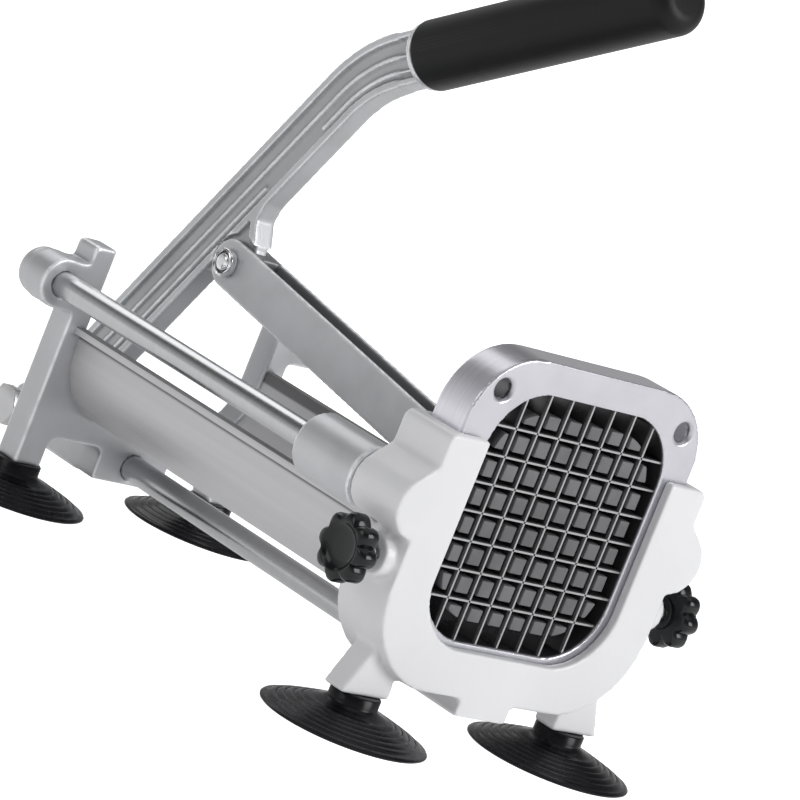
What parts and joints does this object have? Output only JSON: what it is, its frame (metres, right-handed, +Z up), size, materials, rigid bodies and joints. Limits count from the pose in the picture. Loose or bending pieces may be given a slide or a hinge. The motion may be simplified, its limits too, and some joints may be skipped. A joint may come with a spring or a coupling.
{
  "type": "french fry cutter",
  "caption": "Bench french fry cutter: a lever and link push a studded block on two guide rods through a square blade grid, on suction feet.",
  "frame": {"origin": "on the bench under the middle of the object's box, which is on its symmetry plane", "axes": "+X to the right seen from the blade grid, +Y from the blade grid back to the lever pivot, +Z up"},
  "size_m": [0.154, 0.2802, 0.2552],
  "materials": {
    "white_paint": "smooth light grey-white coating over cast aluminium",
    "grey_paint": "fine cast aluminium, satin",
    "steel": "ground stainless steel",
    "sheet_steel": "brushed stainless sheet",
    "cast_aluminium": "polished cast aluminium",
    "zinc": "bright zinc plated steel",
    "knob_plastic": "gloss black moulded plastic",
    "bush_plastic": "natural acetal",
    "stud_plastic": "dark grey moulded plastic",
    "grip_rubber": "smooth black rubber",
    "cup_rubber": "soft black rubber, satin"
  },
  "bodies": {
    "base": {"front_frame": "white_paint", "rear_bracket": "grey_paint", "guide_rod_left": "steel", "guide_rod_right": "steel", "tie_rod": "steel", "tie_rod_nut": "zinc", "rod_set_screws": "zinc", "chute": "sheet_steel", "cassette_frame": "cast_aluminium", "blades_vertical": "steel", "blades_horizontal": "steel", "pivot_bolt": "zinc", "pivot_nut": "zinc", "suction_cup_front_left": "cup_rubber", "suction_cup_front_right": "cup_rubber", "suction_cup_rear_left": "cup_rubber", "suction_cup_rear_right": "cup_rubber", "cup_studs": "zinc"},
    "lever": {"lever_arm": "grey_paint", "lever_grip": "grip_rubber"},
    "link": {"link": "grey_paint", "link_bolt": "zinc", "link_nut": "zinc", "link_lower_pin": "steel"},
    "carriage": {"carriage": "grey_paint", "slide_bushes": "bush_plastic", "pusher_block": "stud_plastic", "pusher_screws": "zinc"},
    "clamp_pad_left": {"clamp_tip_left": "zinc"},
    "clamp_pad_right": {"clamp_tip_right": "zinc"},
    "clamp_screw_left": {"clamp_stud_left": "zinc", "clamp_knob_left": "knob_plastic"},
    "clamp_screw_right": {"clamp_stud_right": "zinc", "clamp_knob_right": "knob_plastic"}
  },
  "joints": [
    {"name": "lever_swing", "type": "hinge", "parent": "base", "child": "lever", "pos_m": [0, 0.13037, 0.018], "axis": [-1, 0, 0], "range_deg": [0, 50]},
    {"name": "link_pivot", "type": "hinge", "parent": "lever", "child": "link", "pos_m": [0, 0.06338, 0.099], "axis": [1, 0, 0], "range_deg": [0, 60.13]},
    {"name": "carriage_slide", "type": "slide", "parent": "base", "child": "carriage", "axis": [0, 1, 0], "range_m": [0, 0.09133]},
    {"name": "clamp_feed_left", "type": "slide", "parent": "base", "child": "clamp_pad_left", "axis": [-1, 0, 0], "range_m": [0, 0.002]},
    {"name": "clamp_turn_left", "type": "hinge", "parent": "clamp_pad_left", "child": "clamp_screw_left", "pos_m": [-0.06, -0.11263, 0.0565], "axis": [-1, 0, 0], "range_deg": [0, 720]},
    {"name": "clamp_feed_right", "type": "slide", "parent": "base", "child": "clamp_pad_right", "axis": [1, 0, 0], "range_m": [0, 0.002]},
    {"name": "clamp_turn_right", "type": "hinge", "parent": "clamp_pad_right", "child": "clamp_screw_right", "pos_m": [0.06, -0.11263, 0.0565], "axis": [1, 0, 0], "range_deg": [0, 720]}
  ],
  "couplings": [
    {"joint": "carriage_slide", "follows": "lever_swing", "m_per_rad": 0.10466},
    {"joint": "link_pivot", "follows": "lever_swing", "ratio": 1.2026},
    {"joint": "clamp_turn_left", "follows": "clamp_feed_left", "rad_per_m": 6283.2},
    {"joint": "clamp_turn_right", "follows": "clamp_feed_right", "rad_per_m": 6283.2}
  ]
}
